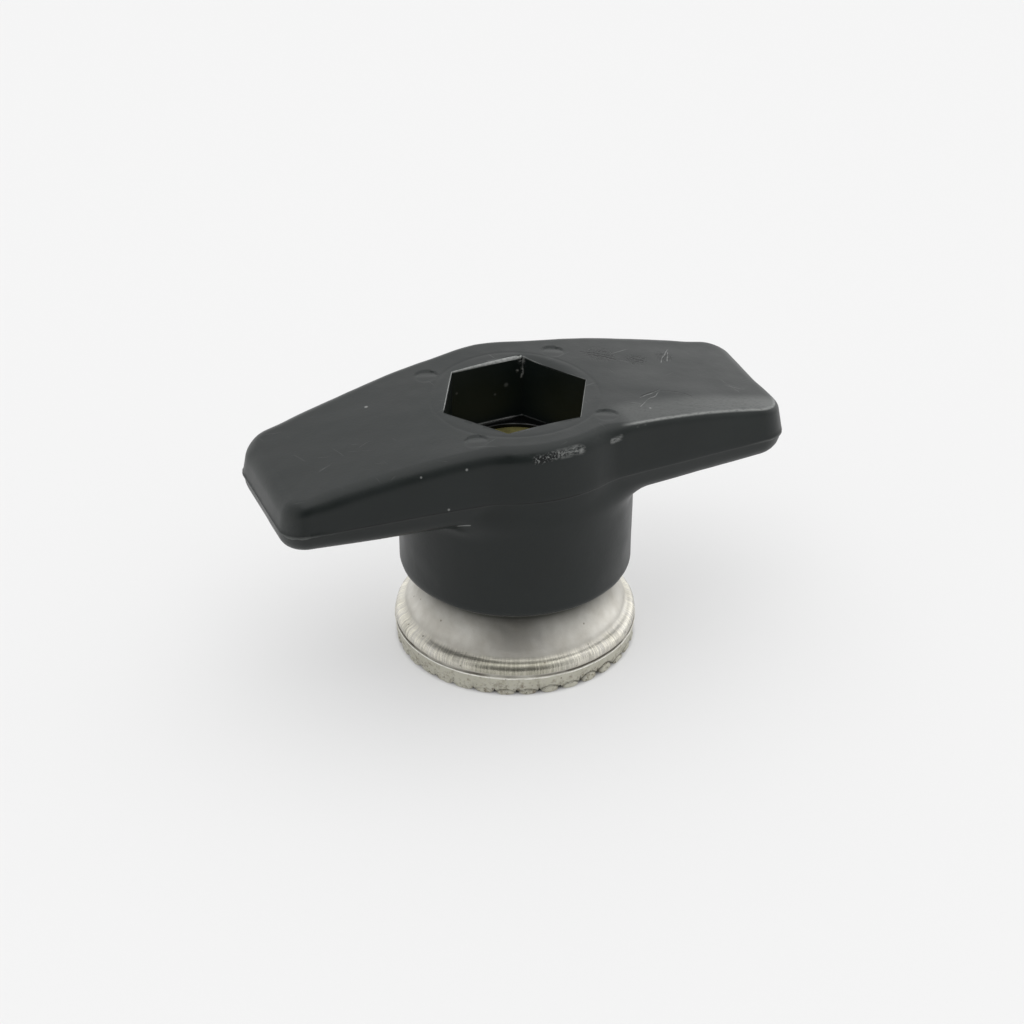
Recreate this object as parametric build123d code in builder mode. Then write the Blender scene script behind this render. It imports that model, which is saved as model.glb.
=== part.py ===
"""Wing-handled bleed key: a moulded handle, a toothed metal foot and a square-drive core.

The key stands on its foot, with the Z axis through the hub and the wing along X.
All lengths are in millimetres and all angles are in degrees.
"""
from build123d import *
from math import cos, radians, sqrt, tan
import os

os.makedirs("parts", exist_ok=True)

# ---------------------------------------------------------------- overall sizes
overall_height = 27.0       # from the foot's teeth to the crown of the handle
wing_span = 52.0            # over both wing tips, where the mould parts
hub_diameter = 23.1         # the round hub in the middle of the wing
hub_bottom_height = 8.6     # the hub's lower edge
foot_diameter = 24.2        # over the top of the toothed band

# ---------------------------------------------------------------- handle
parting_depth = 5.4         # from the crown down to the plane where the mould halves meet
crown_radius = 99.0         # the arch of the top face along the wing
wing_root_width = 21.4      # between the wing's sides, carried on to the middle of the hub
back_fullness = 0.8         # how much further out the wing's back side starts, at that middle
wing_tip_width = 15.6       # between the wing's sides at the tips
tip_corner_radius = 3.6     # the wing's corners, seen from above
hub_blend_radius = 3.0      # where the wing's sides run into the round hub
side_draft = 6.0            # how far the wing's sides lean in above the parting plane
tip_draft = 9.0             # how far the wing's ends lean in above the parting plane
lower_draft = 12.0          # how far sides and ends lean in below the parting plane
top_edge_radius = 1.5       # the rounded edge round the top face
underside_depth = 2.8       # from the parting plane down to the flat underside
bottom_edge_radius = 1.8    # the rounded edge round the underside
gusset_radius = 1.4         # the hollow fillet between the underside and the hub
hub_draft = 0.6             # how far the hub narrows towards its lower edge
hub_edge_radius = 0.4       # the hub's lower edge

# ---------------------------------------------------------------- hexagonal socket
socket_across_flats = 13.0
socket_depth = 6.7
socket_turn = 3.0           # the socket's corners against the line of the wing

# ---------------------------------------------------------------- core
core_diameter = 11.4        # the brass barrel, seen at the bottom of the socket
core_recess = 0.15          # from the socket's floor down to the barrel's upper end
core_stand = 0.3            # how far the barrel's lower end stands out of the foot's hollow
core_end_chamfer = 0.4
knurl_count = 24
knurl_depth = 0.5
knurl_length = 5.0
knurl_top_gap = 1.5         # the plain barrel left above the knurl
square_across_flats = 5.1   # takes the five millimetre spindle of a bleed screw
square_depth = 9.0
square_mouth_chamfer = 0.4

# ---------------------------------------------------------------- foot
band_height = 2.1           # the toothed band
band_draft = 9.0            # how far the band leans in towards the teeth
tooth_count = 34
tooth_height = 0.9
tooth_gap_width = 0.9       # the notch between two teeth, at its mouth
ring_width = 2.0            # the ring of teeth, from the rim in to the hollow underside
line_depth = 0.25           # the line turned between the bead and the band
line_height = 0.3
bead_height = 1.2           # the rounded bead above the line
bead_width = 0.9            # how far the bead stands out beyond the flare
neck_diameter = 17.7        # the narrow end of the flare, under the hub
flare_hollow = 0.3          # how far the flare's side is hollowed
spigot_diameter = 15.6      # the stub that seats in the hub
spigot_length = 4.0
hollow_depth = 1.2          # the hollow inside the ring of teeth

# ---------------------------------------------------------------- fits
barrel_gap = 0.05           # round the core, in the hub and in the foot
spigot_gap = 0.05           # round the spigot
shoulder_gap = 0.05         # between the foot's shoulder and the hub's lower edge
cut_past = 1.0              # how far a cutting shape runs on past the face that it cuts

# Heights and radii that follow from the sizes above.
hub_radius = hub_diameter / 2
core_radius = core_diameter / 2
rim_radius = foot_diameter / 2
tooth_radius = rim_radius - band_height * tan(radians(band_draft))
hollow_radius = tooth_radius - ring_width
spigot_radius = spigot_diameter / 2
parting_height = overall_height - parting_depth
socket_floor_height = overall_height - socket_depth
core_top_height = socket_floor_height - core_recess
core_bottom_height = hollow_depth - core_stand
underside_height = parting_height - underside_depth
shoulder_height = hub_bottom_height - shoulder_gap
spigot_top_height = shoulder_height + spigot_length
knurl_top_height = core_top_height - knurl_top_gap
knurl_bottom_height = knurl_top_height - knurl_length
hub_lower_radius = hub_radius - (parting_height - hub_bottom_height) * tan(radians(hub_draft))


def arch_drop(radius, distance):
    """How far an arch of this radius has fallen at a distance from its middle."""
    return radius - sqrt(radius**2 - distance**2)


def wing_outline(side_inset=0, tip_inset=0):
    """Draws the handle's outline on the open sketch: two tapered wings and the round hub."""
    half_span = wing_span / 2 - tip_inset
    half_root = wing_root_width / 2 - side_inset
    half_tip = wing_tip_width / 2 - side_inset
    back_root = half_root + back_fullness
    corners = [(half_span, half_tip), (0, back_root), (-half_span, half_tip)]
    corners += [(-half_span, -half_tip), (0, -half_root), (half_span, -half_tip)]
    wing = Polygon(*corners, align=None)
    tip_corners = [v for v in wing.vertices() if abs(v.X) > half_span / 2]
    fillet(tip_corners, tip_corner_radius)
    Circle(hub_radius - side_inset)
    back_corners, front_corners = vertices().group_by(lambda v: abs(v.X))[:2]
    fillet(back_corners + front_corners, hub_blend_radius)


def knurled_face(ridge_gap):
    """Draws the barrel's round face with V-shaped grooves, the whole of it grown by ridge_gap."""
    groove_side = (knurl_depth - ridge_gap) * sqrt(2)
    Circle(core_radius + ridge_gap)
    with PolarLocations(core_radius + ridge_gap, knurl_count):
        Rectangle(groove_side, groove_side, rotation=45, mode=Mode.SUBTRACT)


# The gussets: hollow fillets that carry the wings down into the hub. They are turned as one
# ring round the hub, and only the parts of the ring under the wings are kept.
with BuildPart() as gussets:
    ring_radius = hub_radius + gusset_radius
    ring_foot = underside_height - gusset_radius
    ring_top = parting_height - bottom_edge_radius
    with BuildSketch(Plane.XZ):
        with BuildLine():
            hollow = RadiusArc(
                (hub_radius, ring_foot), (ring_radius, underside_height), gusset_radius
            )
            Polyline(hollow @ 1, (ring_radius, ring_top), (0, ring_top), (0, ring_foot), hollow @ 0)
        make_face()
    revolve(axis=Axis.Z)
    with BuildSketch(Plane.XY.offset(ring_foot)):
        wing_outline()
        offset(amount=-bottom_edge_radius)
    extrude(amount=ring_top - ring_foot, mode=Mode.INTERSECT)

# The handle: a drafted wing above and below the parting plane, round a hollow hub.
with BuildPart() as handle:
    wall_height = parting_depth + cut_past
    with BuildSketch(Plane.XY.offset(parting_height)) as outline:
        wing_outline()
    with BuildSketch(Plane.XY.offset(parting_height + wall_height)):
        wing_outline(
            side_inset=wall_height * tan(radians(side_draft)),
            tip_inset=wall_height * tan(radians(tip_draft)),
        )
    loft()

    # The top face is arched along the wing.
    half_length = wing_span / 2 + cut_past
    tip_top = overall_height - arch_drop(crown_radius, half_length)
    with BuildSketch(Plane.XZ):
        with BuildLine():
            crown = ThreePointArc(
                (-half_length, tip_top), (0, overall_height), (half_length, tip_top)
            )
            Polyline(
                crown @ 0, (-half_length, parting_height), (half_length, parting_height), crown @ 1
            )
        make_face()
    extrude(amount=hub_diameter, both=True, mode=Mode.INTERSECT)
    fillet(handle.faces().sort_by(Axis.Z)[-1].edges(), top_edge_radius)

    # The lower half, with its flat underside.
    extrude(outline.sketch, amount=-underside_depth, taper=lower_draft)
    fillet(handle.faces().sort_by(Axis.Z)[0].edges(), bottom_edge_radius)

    # The hub below the wing.
    with BuildSketch(Plane.XY.offset(hub_bottom_height)):
        Circle(hub_lower_radius)
    extrude(amount=parting_height - hub_bottom_height, taper=-hub_draft)
    fillet(handle.edges().group_by(Axis.Z)[0], hub_edge_radius)

    add(gussets.part)

    # The hexagonal socket.
    with BuildSketch(Plane.XY.offset(socket_floor_height)):
        RegularPolygon(
            socket_across_flats / 2, 6, major_radius=False, rotation=socket_turn
        )
    extrude(amount=socket_depth + cut_past, mode=Mode.SUBTRACT)

    # The bore round the core, which follows its knurl, and the seat of the foot's spigot.
    with BuildSketch(Plane.XY.offset(hub_bottom_height)):
        Circle(core_radius + barrel_gap)
    extrude(amount=knurl_bottom_height - hub_bottom_height, mode=Mode.SUBTRACT)
    with BuildSketch(Plane.XY.offset(knurl_bottom_height)):
        knurled_face(barrel_gap)
    extrude(amount=knurl_length, mode=Mode.SUBTRACT)
    with BuildSketch(Plane.XY.offset(knurl_top_height)):
        Circle(core_radius + barrel_gap)
    extrude(amount=socket_floor_height - knurl_top_height, mode=Mode.SUBTRACT)
    with BuildSketch(Plane.XY.offset(hub_bottom_height)):
        Circle(spigot_radius + spigot_gap)
    extrude(amount=spigot_length, mode=Mode.SUBTRACT)
handle.part.label = "handle"
export_step(handle.part, "parts/handle.step")

# One notch between two teeth, which is cut all round the foot.
with BuildPart() as tooth_notch:
    with BuildSketch(Plane.YZ.offset(hollow_radius - cut_past)):
        Polygon(
            (-tooth_gap_width / 2, -cut_past),
            (tooth_gap_width / 2, -cut_past),
            (tooth_gap_width / 2, 0),
            (0, tooth_height),
            (-tooth_gap_width / 2, 0),
            align=None,
        )
    extrude(amount=ring_width + rim_radius - tooth_radius + 2 * cut_past)

# The foot: a turned collar with a ring of teeth, a bead, a flare and a spigot.
with BuildPart() as foot:
    line_radius = rim_radius - line_depth
    bead_bottom = band_height + line_height
    bead_top = bead_bottom + bead_height
    flare_radius = rim_radius - bead_width
    neck_radius = neck_diameter / 2
    with BuildSketch(Plane.XZ):
        with BuildLine():
            Polyline(
                (core_radius + barrel_gap, spigot_top_height),
                (core_radius + barrel_gap, hollow_depth),
                (hollow_radius, hollow_depth),
                (hollow_radius, 0),
                (tooth_radius, 0),
                (rim_radius, band_height),
                (line_radius, band_height),
                (line_radius, bead_bottom),
            )
            RadiusArc((line_radius, bead_bottom), (flare_radius, bead_top), -bead_height)
            SagittaArc((flare_radius, bead_top), (neck_radius, shoulder_height), flare_hollow)
            Polyline(
                (neck_radius, shoulder_height),
                (spigot_radius, shoulder_height),
                (spigot_radius, spigot_top_height),
                (core_radius + barrel_gap, spigot_top_height),
            )
        make_face()
    revolve(axis=Axis.Z)
    with PolarLocations(0, tooth_count):
        add(tooth_notch.part, mode=Mode.SUBTRACT)
foot.part.label = "foot"
export_step(foot.part, "parts/foot.step")

# The core: a brass barrel, knurled where the hub is moulded round it, with the square socket.
with BuildPart() as socket_core:
    with BuildSketch(Plane.XY.offset(core_bottom_height)):
        Circle(core_radius)
    extrude(amount=knurl_bottom_height - core_bottom_height)
    with BuildSketch(Plane.XY.offset(knurl_bottom_height)):
        knurled_face(0)
    extrude(amount=knurl_length)
    with BuildSketch(Plane.XY.offset(knurl_top_height)):
        Circle(core_radius)
    extrude(amount=core_top_height - knurl_top_height)
    core_ends = socket_core.edges().filter_by(GeomType.CIRCLE)
    chamfer([core_ends.sort_by(Axis.Z)[0], core_ends.sort_by(Axis.Z)[-1]], core_end_chamfer)
    with BuildSketch(Plane.XY.offset(core_bottom_height)):
        Rectangle(square_across_flats, square_across_flats)
    extrude(amount=square_depth, mode=Mode.SUBTRACT)
    mouth = socket_core.faces().sort_by(Axis.Z)[0].inner_wires()[0]
    chamfer(mouth.edges(), square_mouth_chamfer)
socket_core.part.label = "socket_core"
export_step(socket_core.part, "parts/socket_core.step")

for piece in (handle, foot, socket_core):
    print(piece.part.label, "volume", round(piece.part.volume, 1), "valid", piece.part.is_valid)
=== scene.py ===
# %% [markdown]
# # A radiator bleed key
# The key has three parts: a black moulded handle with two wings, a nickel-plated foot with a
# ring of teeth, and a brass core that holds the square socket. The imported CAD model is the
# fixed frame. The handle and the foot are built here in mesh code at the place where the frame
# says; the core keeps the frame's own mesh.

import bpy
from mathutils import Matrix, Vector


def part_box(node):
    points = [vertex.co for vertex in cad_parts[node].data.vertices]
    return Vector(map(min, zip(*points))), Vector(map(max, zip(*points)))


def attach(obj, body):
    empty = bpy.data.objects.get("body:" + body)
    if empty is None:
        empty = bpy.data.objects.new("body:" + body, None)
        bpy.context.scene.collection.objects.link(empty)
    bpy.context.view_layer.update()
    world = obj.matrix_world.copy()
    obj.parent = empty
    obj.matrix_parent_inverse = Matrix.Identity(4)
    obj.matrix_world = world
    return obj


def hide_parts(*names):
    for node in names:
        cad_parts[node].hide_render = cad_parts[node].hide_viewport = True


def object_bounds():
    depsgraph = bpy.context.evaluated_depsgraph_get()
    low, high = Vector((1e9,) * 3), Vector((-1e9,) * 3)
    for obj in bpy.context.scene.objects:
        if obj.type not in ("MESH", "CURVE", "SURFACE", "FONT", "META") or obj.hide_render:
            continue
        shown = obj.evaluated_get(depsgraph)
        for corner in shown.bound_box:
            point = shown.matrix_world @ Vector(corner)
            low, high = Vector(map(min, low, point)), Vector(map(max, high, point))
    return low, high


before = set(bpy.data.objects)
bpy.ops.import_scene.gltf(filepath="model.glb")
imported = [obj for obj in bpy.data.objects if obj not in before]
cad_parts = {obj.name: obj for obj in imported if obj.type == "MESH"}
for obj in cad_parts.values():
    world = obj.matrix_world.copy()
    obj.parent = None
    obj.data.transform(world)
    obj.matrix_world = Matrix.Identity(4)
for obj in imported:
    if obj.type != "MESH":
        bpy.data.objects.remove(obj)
cad_low, cad_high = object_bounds()
print("CAD box in mm:", [round(1000 * side, 2) for side in cad_high - cad_low])

# %% [markdown]
# Everything below works in millimetres, because a maker thinks of this key in millimetres, and
# turns to metres only when a mesh is made. The main sizes are read off the frame's boxes, so
# the pieces follow the CAD if it is ever changed.

# %% Read the main sizes
import math

import bpy
import numpy as np
from mathutils import Matrix, Vector

MM = 0.001
handle_low, handle_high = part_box("handle")
_, foot_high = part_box("foot")
_, core_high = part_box("socket_core")
half_span = handle_high.x / MM
hub_radius = handle_high.y / MM
crown_height = handle_high.z / MM
hub_bottom = handle_low.z / MM
rim_radius = foot_high.x / MM
spigot_top = foot_high.z / MM
core_radius = core_high.x / MM
print("half span", round(half_span, 2), "hub radius", round(hub_radius, 2))

# %% [markdown]
# ## The skin of the handle as a distance
# The handle is a tapered wing that runs into a round hub, and no edge of it is sharp. Such a
# shape could be boxed out of polygons and smoothed, but then the radii are guesses. Here it is
# written as a distance: for any point, how far it lies outside the skin. Planes and circles
# are joined with rounded creases, and a mesh that is laid roughly in place is then pulled on
# to the places where the distance is zero.

# %% Rounded creases
def tan_deg(angle):
    return math.tan(math.radians(angle))


def smooth_step(value, start, end):
    """0 before start, 1 after end, and an even ramp between them."""
    t = np.clip((value - start) / (end - start), 0, 1)
    return t * t * (3 - 2 * t)


def cut_round(a, b, radius, lean=0.0):
    """Where two shapes overlap, with the outer edge between them rounded.

    lean is 0 where their faces meet squarely, and the cosine of the angle that they turn
    through where they don't.
    """
    a, b = a + radius, b + radius
    corner = np.sqrt(np.maximum(a * a + b * b - 2 * lean * a * b, 0) / (1 - lean**2))
    in_corner = (a > lean * b) & (b > lean * a)
    return np.where(in_corner, corner, np.maximum(a, b)) - radius


def join_soft(a, b, reach):
    """Two shapes together, with a hollow fillet that starts that far from their meeting."""
    share = np.maximum(reach - np.abs(a - b), 0) / reach
    return np.minimum(a, b) - share * share * reach / 4


# %% The handle's own sizes
flash_room = 0.2            # room for the flash that stands out of the right wing's end
left_flash_room = 0.06      # the left wing's end has nearly none
parting_height = crown_height - 5.4
parting_lift = 0.1          # the line where the mould parts, at the hub
parting_drop = 0.75         # and how much lower it runs at the wings' ends
underside_height = parting_height - 2.8
crown_arch = 99.0           # radius of the arch along the wing
root_half_width = 10.7
back_fullness = 0.8         # the back side starts this much further out
tip_half_width = 7.8
tip_corner = 3.1
sharp_corner = 2.6          # the front left and the back right corner
left_lag = (0.45, 0.15)     # how far the left wing's tip sits to the front, at its back and front
top_edge = 1.5
bottom_edge = 1.8
hub_bottom_edge = 0.7
side_lean, tip_lean, under_lean = (math.radians(angle) for angle in (6, 9, 12))
tip_under_lean = 5          # degrees, below the parting line
hub_lean = 0.6              # degrees
corner_lean = 0.13          # the wings' sides and ends don't meet quite squarely
arch_slant = 0.25           # how far the arch has turned down at the ends, in radians
print("wing", round(2 * half_span, 2), "mm long and", 2 * tip_half_width, "mm wide at its ends")

# %% The upright sides
def parting_at(x):
    """The mould parts a little lower at the wing tips than at the hub."""
    return parting_height + parting_lift - parting_drop * (x / half_span) ** 2


def plan_distance(x, y, z):
    """Distance from the wing's and the hub's upright sides, each on its own."""
    above = np.maximum(z - parting_at(x), 0)
    below = np.maximum(parting_at(x) - z, 0)
    upper = z > parting_at(x)
    on_left_wing = np.clip((-x - 6) / 20, 0, 1)
    y_wing = y + np.where(y > 0, left_lag[0], left_lag[1]) * on_left_wing
    under = below * math.tan(under_lean)
    root = root_half_width + back_fullness * smooth_step(y, -2, 2)
    taper = (root - tip_half_width) / half_span
    side = np.abs(y_wing) - root + above * math.tan(side_lean) + under + taper * np.abs(x)
    side = side * np.where(upper, math.cos(side_lean), math.cos(under_lean))
    side = side / np.hypot(1, taper)
    tip = np.abs(x) - half_span + np.where(x < 0, left_flash_room, flash_room)
    tip = tip + above * math.tan(tip_lean) + below * tan_deg(tip_under_lean)
    tip = tip * np.where(upper, math.cos(tip_lean), math.cos(under_lean))
    wing = cut_round(side, tip, np.where(x * y > 0, sharp_corner, tip_corner), corner_lean)
    hub_in = above * math.tan(side_lean) + below * tan_deg(hub_lean)
    hub = np.hypot(x, y) - hub_radius + hub_in
    return wing, hub


# %% The arched top and the whole skin
def crown_at(x):
    """Height of the arched top face."""
    return crown_height - crown_arch + np.sqrt(crown_arch**2 - x**2)


def crown_slant(x):
    """Turns a height over the arch into the distance straight out of it."""
    return np.sqrt(crown_arch**2 - x**2) / crown_arch


def skin_distance(points):
    """Distance in mm from the outer skin of the handle; negative inside it."""
    x, y, z = points.T
    wing, hub = plan_distance(x, y, z)
    wing = cut_round(wing, underside_height - z, bottom_edge, math.sin(under_lean))
    hub = cut_round(hub, hub_bottom - z, hub_bottom_edge)
    reach = 2.2 - 1.7 * smooth_step(z, underside_height - 0.3, parting_height)
    body = join_soft(wing, hub, reach)
    at_tip = smooth_step(np.abs(x), half_span - 5, half_span - 2)
    lean = math.sin(side_lean) + (math.sin(tip_lean + arch_slant) - math.sin(side_lean)) * at_tip
    behind_hub = smooth_step(y, 0, 6) * smooth_step(np.abs(x), 16, 8)
    right_front = smooth_step(x, 5, 9) * smooth_step(y, 0, -4)
    left_end = smooth_step(-x, 20.5, 24)
    edge = top_edge - 0.4 * behind_hub
    edge = edge - 0.65 * right_front
    edge = edge + 0.3 * left_end
    return cut_round(body, (z - crown_at(x)) * crown_slant(x), edge, lean)


# %% Straight out of the skin, and back on to it
nudge = 0.01                # mm


def skin_slope(points):
    """Which way the distance grows: straight out of the skin."""
    slope = np.empty_like(points)
    for axis in range(3):
        step = np.zeros(3)
        step[axis] = nudge
        slope[:, axis] = (skin_distance(points + step) - skin_distance(points - step)) / (2 * nudge)
    return slope


def pull_to_skin(points, rounds=7):
    """Moves points straight on to the skin."""
    for _ in range(rounds):
        slope = skin_slope(points)
        size = np.maximum((slope**2).sum(1), 0.2)
        points = points - slope * (skin_distance(points) / size)[:, None]
    return points


skin_test = np.array([[half_span + 1.0, 0.0, parting_height], [0.0, 0.0, hub_bottom + 1.0]])
print("1 mm past the right end is", round(float(skin_distance(skin_test)[0]), 2), "mm outside the skin")

# %% [markdown]
# ## The handle's mesh
# The mesh is one closed net of four-sided faces. Its columns fan out round the axis of the hub,
# and its rings run from the rim of the hexagonal socket over the top face, round the edge,
# under the wing, down the hub, up the bore and back up the socket's walls. The columns are
# spaced evenly along the handle's outline, so the far wing tips get as many as the hub. Six
# of them are put exactly on the hexagon's corners, which keeps those corners crisp.

# %% Columns round the hub
column_count = 600
hexagon_half = 6.5          # half the width across its flats
hexagon_turn = math.radians(3)


def outline_radius(angle, z=None):
    """How far the outline lies from the axis in each direction, at a height or at the parting."""
    near = np.full_like(angle, 2.0)
    far = np.full_like(angle, 30.0)
    for _ in range(40):
        middle = (near + far) / 2
        x = middle * np.cos(angle)
        wing, hub = plan_distance(x, middle * np.sin(angle), parting_at(x) if z is None else z)
        outside = join_soft(wing, hub, 0.5) > 0
        far = np.where(outside, middle, far)
        near = np.where(outside, near, middle)
    return far


# %% Space the columns evenly along the outline
fine_angle = np.linspace(0, 2 * math.pi, 20001)
fine_radius = outline_radius(fine_angle)
fine_line = np.stack([fine_radius * np.cos(fine_angle), fine_radius * np.sin(fine_angle)], 1)
steps = np.linalg.norm(np.diff(fine_line, axis=0), axis=1)
walked = np.concatenate([[0], np.cumsum(steps)])
angle = np.interp(np.arange(column_count) / column_count * walked[-1], walked, fine_angle)
for corner in range(6):
    target = hexagon_turn + corner * math.pi / 3
    angle[np.argmin(np.abs(angle - target))] = target
print("outline", round(walked[-1], 1), "mm round, columns", column_count)

# %% Rings from the socket's rim to the parting line
cos_a, sin_a = np.cos(angle), np.sin(angle)
from_flat = (angle - hexagon_turn) % (math.pi / 3) - math.pi / 6
hexagon_radius = hexagon_half / np.cos(from_flat)
witness_radius = 7.95       # a faint circle round the socket, left by the mould's core pin
across_corners = 2 * hexagon_radius.max()
print("socket", 2 * hexagon_half, "mm across flats,", across_corners.round(2), "across corners")
rings = []
ring_kind = []


def add_ring(radius, z, kind):
    """One ring of the net: a radius and a height in every column."""
    z = np.zeros(column_count) + z
    rings.append(np.stack([radius * cos_a, radius * sin_a, z], 1))
    ring_kind.append(kind)


# %% The socket's rim
# The rim has a tiny bevel, and at the back left it is worn wider.
crown_line = crown_at(hexagon_radius * cos_a)
degree = np.degrees(angle) % 360
back_left = (degree > 63) & (degree < 123)
bevel = 0.07 + np.where(back_left, 0.22 * (123 - degree) / 60, 0)
add_ring(hexagon_radius, crown_line - 1.1 * bevel, "rim")
add_ring(hexagon_radius + 0.2 * bevel, crown_line - 0.6 * bevel, "rim")
add_ring(hexagon_radius + bevel, crown_line, "rim")
add_ring(hexagon_radius + bevel + 0.03, crown_line, "skin")
print("bevel between", bevel.min().round(2), "and", bevel.max().round(2), "mm")

# %% The top face, its edge and the upper sides
for part in (0.33, 0.66):
    radius = (hexagon_radius + bevel) * (1 - part) + witness_radius * part
    add_ring(radius, crown_at(radius * cos_a), "skin")
corner_height = crown_at(0.93 * outline_radius(angle) * cos_a)
corner_radius = outline_radius(angle, corner_height)
inner_zone = np.minimum(10.75, witness_radius + 0.8 * (corner_radius - witness_radius))
for part in np.linspace(0, 1, 21):
    radius = witness_radius + (inner_zone - witness_radius) * part
    add_ring(radius, crown_at(radius * cos_a), "skin")
for part in np.arange(1, 25) / 24:
    radius = inner_zone + (corner_radius - inner_zone) * (1 - (1 - part) ** 1.6)
    add_ring(radius, crown_at(radius * cos_a), "skin")
parting_radius = outline_radius(angle)
parting_line = parting_at(parting_radius * cos_a)
for part in (np.arange(1, 17) / 17) ** 1.3:
    height = corner_height + (parting_line + 0.3 - corner_height) * part
    radius = corner_radius + (parting_radius - corner_radius) * part
    add_ring(radius, height, "skin")
for lift in (0.14, 0.06, 0.0, -0.06, -0.14):
    add_ring(parting_radius, parting_line + lift, "flash")
print("rings from the rim to the parting line:", len(rings))

# %% Rings under the wing and down the hub
lower_count = 50
low_radius = outline_radius(angle, underside_height)
hub_at_wing = hub_radius - (parting_height - underside_height) * tan_deg(hub_lean)
hub_at_foot = hub_radius - (parting_height - hub_bottom) * tan_deg(hub_lean)
path_r = np.stack([parting_radius, low_radius, np.full(column_count, hub_at_wing),
                   np.full(column_count, hub_at_foot)])
path_z = np.array([0, underside_height, underside_height, hub_bottom + 0.2])
path_z = np.repeat(path_z[:, None], column_count, axis=1)
path_z[0] = parting_line - 0.3
leg = np.hypot(np.diff(path_r, axis=0), np.diff(path_z, axis=0))
leg_end = np.concatenate([np.zeros((1, column_count)), np.cumsum(leg, axis=0)])
for part in np.arange(lower_count) / (lower_count - 1):
    distance = part * leg_end[-1]
    radius = np.empty(column_count)
    height = np.empty(column_count)
    for column in range(column_count):
        radius[column] = np.interp(distance[column], leg_end[:, column], path_r[:, column])
        height[column] = np.interp(distance[column], leg_end[:, column], path_z[:, column])
    add_ring(radius, height, "skin")
for inset in (0.15, 0.45):
    add_ring(np.full(column_count, hub_at_foot - inset), hub_bottom, "skin")
print("rings down to the bottom of the hub:", len(rings))

# %% Rings up the bore and round the socket
spigot_seat_radius = 7.85
spigot_seat_top = hub_bottom + 4.0
core_seat_radius = core_radius + 0.05
socket_depth = 6.7
socket_floor = crown_height - socket_depth
bore_line = (
    (9.6, hub_bottom), (8.2, hub_bottom), (spigot_seat_radius, hub_bottom + 0.1),
    (spigot_seat_radius, hub_bottom + 2), (spigot_seat_radius, spigot_seat_top),
    (6.8, spigot_seat_top), (core_seat_radius, spigot_seat_top), (core_seat_radius, 15.0),
    (core_seat_radius, 18.0), (core_seat_radius, socket_floor - 0.06),
)
flat_ring = np.ones(column_count)
for radius, height in bore_line:
    add_ring(radius * flat_ring, height, "bore")
for part in (0.06, 0.5, 0.93):
    add_ring(core_seat_radius + (hexagon_radius - core_seat_radius) * part, socket_floor, "socket")
for rise in (0.08, 0.2, 1.2, 2.4, 3.6, 4.8, 6.0, 6.4):
    add_ring(hexagon_radius, socket_floor + rise, "socket")
print("rings", len(rings), "faces", len(rings) * column_count)

# %% [markdown]
# ## Pull the net on to the skin, then add what the mould and the years left
# The outer rings are pulled on to the distance first. After that, small marks are added as
# real shape: the flash that squeezed out between the mould halves, four round ejector marks,
# the witness circle, and a slow waviness, because moulded nylon sinks a little as it cools.

# %% Noise from a few waves
def waves(points, size, seed, count=14):
    """A smooth random height over space, about -1 to 1; size is the width of a wave in mm."""
    random = np.random.default_rng(seed)
    total = np.zeros(len(points))
    for _ in range(count):
        direction = random.normal(size=3)
        direction *= 2 * math.pi / size * random.uniform(0.6, 1.5) / np.linalg.norm(direction)
        total += np.sin(points @ direction + random.uniform(0, 2 * math.pi))
    return total / math.sqrt(count)


# %% Pull the outer rings on to the skin
kinds = np.repeat(np.array(ring_kind), column_count)
points = np.concatenate(rings)
outer = np.isin(kinds, ("skin", "flash"))
points[outer] = pull_to_skin(points[outer])
normals = np.zeros_like(points)
normals[outer] = skin_slope(points[outer])
normals[outer] /= np.linalg.norm(normals[outer], axis=1)[:, None]
x, y, z = points.T
lift = 0.020 * waves(points, 9, 1) + 0.006 * waves(points, 2.5, 2)
off_skin = np.abs(skin_distance(points[outer])).max()
print("furthest from the skin after the pull:", round(float(off_skin), 4), "mm")

# %% Ejector marks and the witness circle
# Each mark is a shallow dish with one side deeper, because the pins stood a little crooked.
ejector_radius = 1.15
ejector_spot = (6.64, 6.68)
deep_side = (0.37, 0.93)
on_top = (z > crown_height - 1.5) & (normals[:, 2] > 0.8)
for side_x in (-1, 1):
    for side_y in (-1, 1):
        in_x = x - side_x * ejector_spot[0]
        in_y = y - side_y * ejector_spot[1]
        dish = smooth_step(np.hypot(in_x, in_y), ejector_radius, ejector_radius - 0.09)
        deeper = 0.5 + (deep_side[0] * in_x + deep_side[1] * in_y) / (2 * ejector_radius)
        lift -= on_top * dish * (0.015 + 0.11 * smooth_step(deeper, 0.35, 1.0))

from_axis = np.hypot(x, y)
lift -= on_top * 0.018 * np.exp(-((from_axis - witness_radius - 0.2) / 0.14) ** 2)
print("points on the top face:", int(on_top.sum()))

# %% Flash and the step at the parting line
# Flash stands out of the wings' ends. Everywhere else the lower mould half sits a touch inside.
tip_share = smooth_step(np.abs(x), 20, 25.5)
ragged = 0.5 + 0.5 * waves(points, 1.4, 3) + 0.3 * waves(points, 0.6, 4)
flash_height = np.clip(tip_share * (0.08 + 0.14 * ragged), 0, flash_room) * np.where(x > 0, 0.6, 1)
flash_height = flash_height - 0.03 * (1 - tip_share)
above_flash = tip_share * np.exp(-((z - parting_at(x) - 0.2) / 0.06) ** 2)
at_parting = np.exp(-((z - parting_at(x)) / 0.07) ** 2)
lift += np.where(kinds == "flash", flash_height * at_parting, 0)
below_step = smooth_step(z - parting_at(x), -0.05, -0.16)
above_hub = smooth_step(z, underside_height - 1, underside_height + 1)
lift -= np.where(outer, 0.05 * below_step * above_hub, 0)
print("flash stands out by up to", round(float(flash_height.max()), 2), "mm")

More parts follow.
